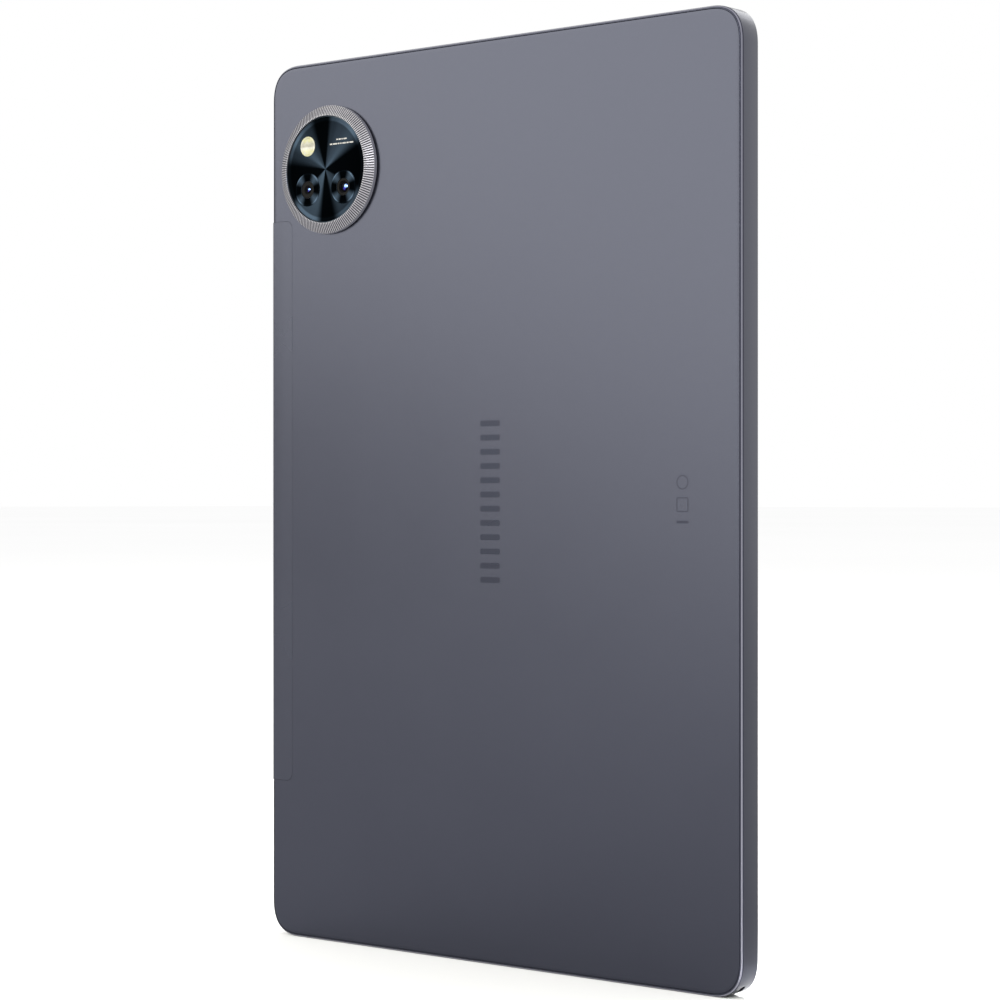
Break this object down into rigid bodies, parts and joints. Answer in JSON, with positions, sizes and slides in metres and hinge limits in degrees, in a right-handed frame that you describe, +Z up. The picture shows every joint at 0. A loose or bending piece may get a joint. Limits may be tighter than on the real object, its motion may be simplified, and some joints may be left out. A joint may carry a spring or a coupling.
{
  "type": "tablet computer",
  "caption": "Slim upright tablet computer with a flat metal back, round camera bump, side buttons and a card tray.",
  "frame": {"origin": "middle of the lower short edge, on the surface the tablet stands on, centred across the width and the thickness with the camera bump", "axes": "+Z up along the long side, -Y out of the screen, +Y out of the camera side, +X toward the long side nearest the camera"},
  "size_m": [0.1683, 0.0098, 0.2545],
  "materials": {
    "anodised_metal": "satin bead-blasted grey anodising",
    "coated_plastic": "plastic painted to match the anodising",
    "black_plastic": "matt black moulded plastic",
    "bezel_metal": "machined light grey anodising",
    "button_metal": "satin light anodising",
    "rubber_seal": "black foam or rubber seal",
    "disc_glass": "dark patterned glass with a sunburst",
    "lens_ring_metal": "dark machined metal with a sunburst",
    "lens_glass": "coated lens glass",
    "flash_plastic": "clear ribbed flash lens over a yellow emitter",
    "led_package": "yellow phosphor emitter",
    "camera_housing": "black moulded camera housing",
    "sheet_steel": "bright stamped sheet steel",
    "cover_glass": "glossy black printed cover glass",
    "display": "dark display panel",
    "backlight": "white light guide",
    "adhesive": "black adhesive tape",
    "flex": "amber flexible circuit",
    "battery_foil": "foil pouch",
    "circuit_board": "solder-masked circuit board",
    "chip": "moulded chip package",
    "graphite": "graphite sheet",
    "speaker_plastic": "black speaker box",
    "mesh_cloth": "black dust mesh"
  },
  "bodies": {
    "tablet": {"side_frame": "anodised_metal", "rear_cover": "anodised_metal", "antenna_cover": "coated_plastic", "antenna_carrier": "black_plastic", "antenna_flex": "flex", "camera_ring": "bezel_metal", "camera_gasket": "rubber_seal", "camera_disc": "disc_glass", "main_lens_ring": "lens_ring_metal", "second_lens_ring": "lens_ring_metal", "main_lens_glass": "lens_glass", "second_lens_glass": "lens_glass", "flash_lens": "flash_plastic", "flash_led": "led_package", "main_camera_module": "camera_housing", "second_camera_module": "camera_housing", "second_camera_barrel": "camera_housing", "camera_bracket": "sheet_steel", "cover_glass": "cover_glass", "display_adhesive": "adhesive", "display_panel": "display", "backlight_unit": "backlight", "mid_plate": "anodised_metal", "display_flex": "flex", "front_camera": "camera_housing", "light_sensor": "chip", "left_battery_cell": "battery_foil", "right_battery_cell": "battery_foil", "battery_lead": "flex", "main_board": "circuit_board", "processor": "chip", "memory_chip": "chip", "processor_shield": "sheet_steel", "radio_shield": "sheet_steel", "heat_spreader": "graphite", "lower_board": "circuit_board", "charging_socket": "sheet_steel", "charging_tongue": "black_plastic", "board_flex": "flex", "upper_left_speaker": "speaker_plastic", "upper_right_speaker": "speaker_plastic", "lower_left_speaker": "speaker_plastic", "lower_right_speaker": "speaker_plastic", "upper_left_mesh": "mesh_cloth", "upper_right_mesh": "mesh_cloth", "lower_left_mesh": "mesh_cloth", "lower_right_mesh": "mesh_cloth", "power_switch": "sheet_steel", "volume_switches": "sheet_steel", "card_reader": "sheet_steel", "eject_lever": "sheet_steel", "microphones": "sheet_steel", "screws": "sheet_steel"},
    "power_button_cap": {"power_button": "button_metal"},
    "volume_rocker_cap": {"volume_rocker": "button_metal"},
    "card_tray_body": {"card_tray": "anodised_metal", "tray_gasket": "rubber_seal"},
    "focus_barrel": {"main_camera_barrel": "camera_housing"}
  },
  "joints": [
    {"name": "power_press", "type": "slide", "parent": "tablet", "child": "power_button_cap", "axis": [0, 0, -1], "range_m": [0, 0.00025], "stiffness_N_per_m": 400},
    {"name": "volume_tip", "type": "hinge", "parent": "tablet", "child": "volume_rocker_cap", "pos_m": [0.0816, -0.0012, 0.226], "axis": [0, 1, 0], "range_deg": [-1.3, 1.3], "stiffness_Nm_per_rad": 0.05},
    {"name": "tray_slide", "type": "slide", "parent": "tablet", "child": "card_tray_body", "axis": [1, 0, 0], "range_m": [0, 0.026]},
    {"name": "focus_slide", "type": "slide", "parent": "tablet", "child": "focus_barrel", "axis": [0, 1, 0], "range_m": [0, 0.0003], "stiffness_N_per_m": 60}
  ]
}
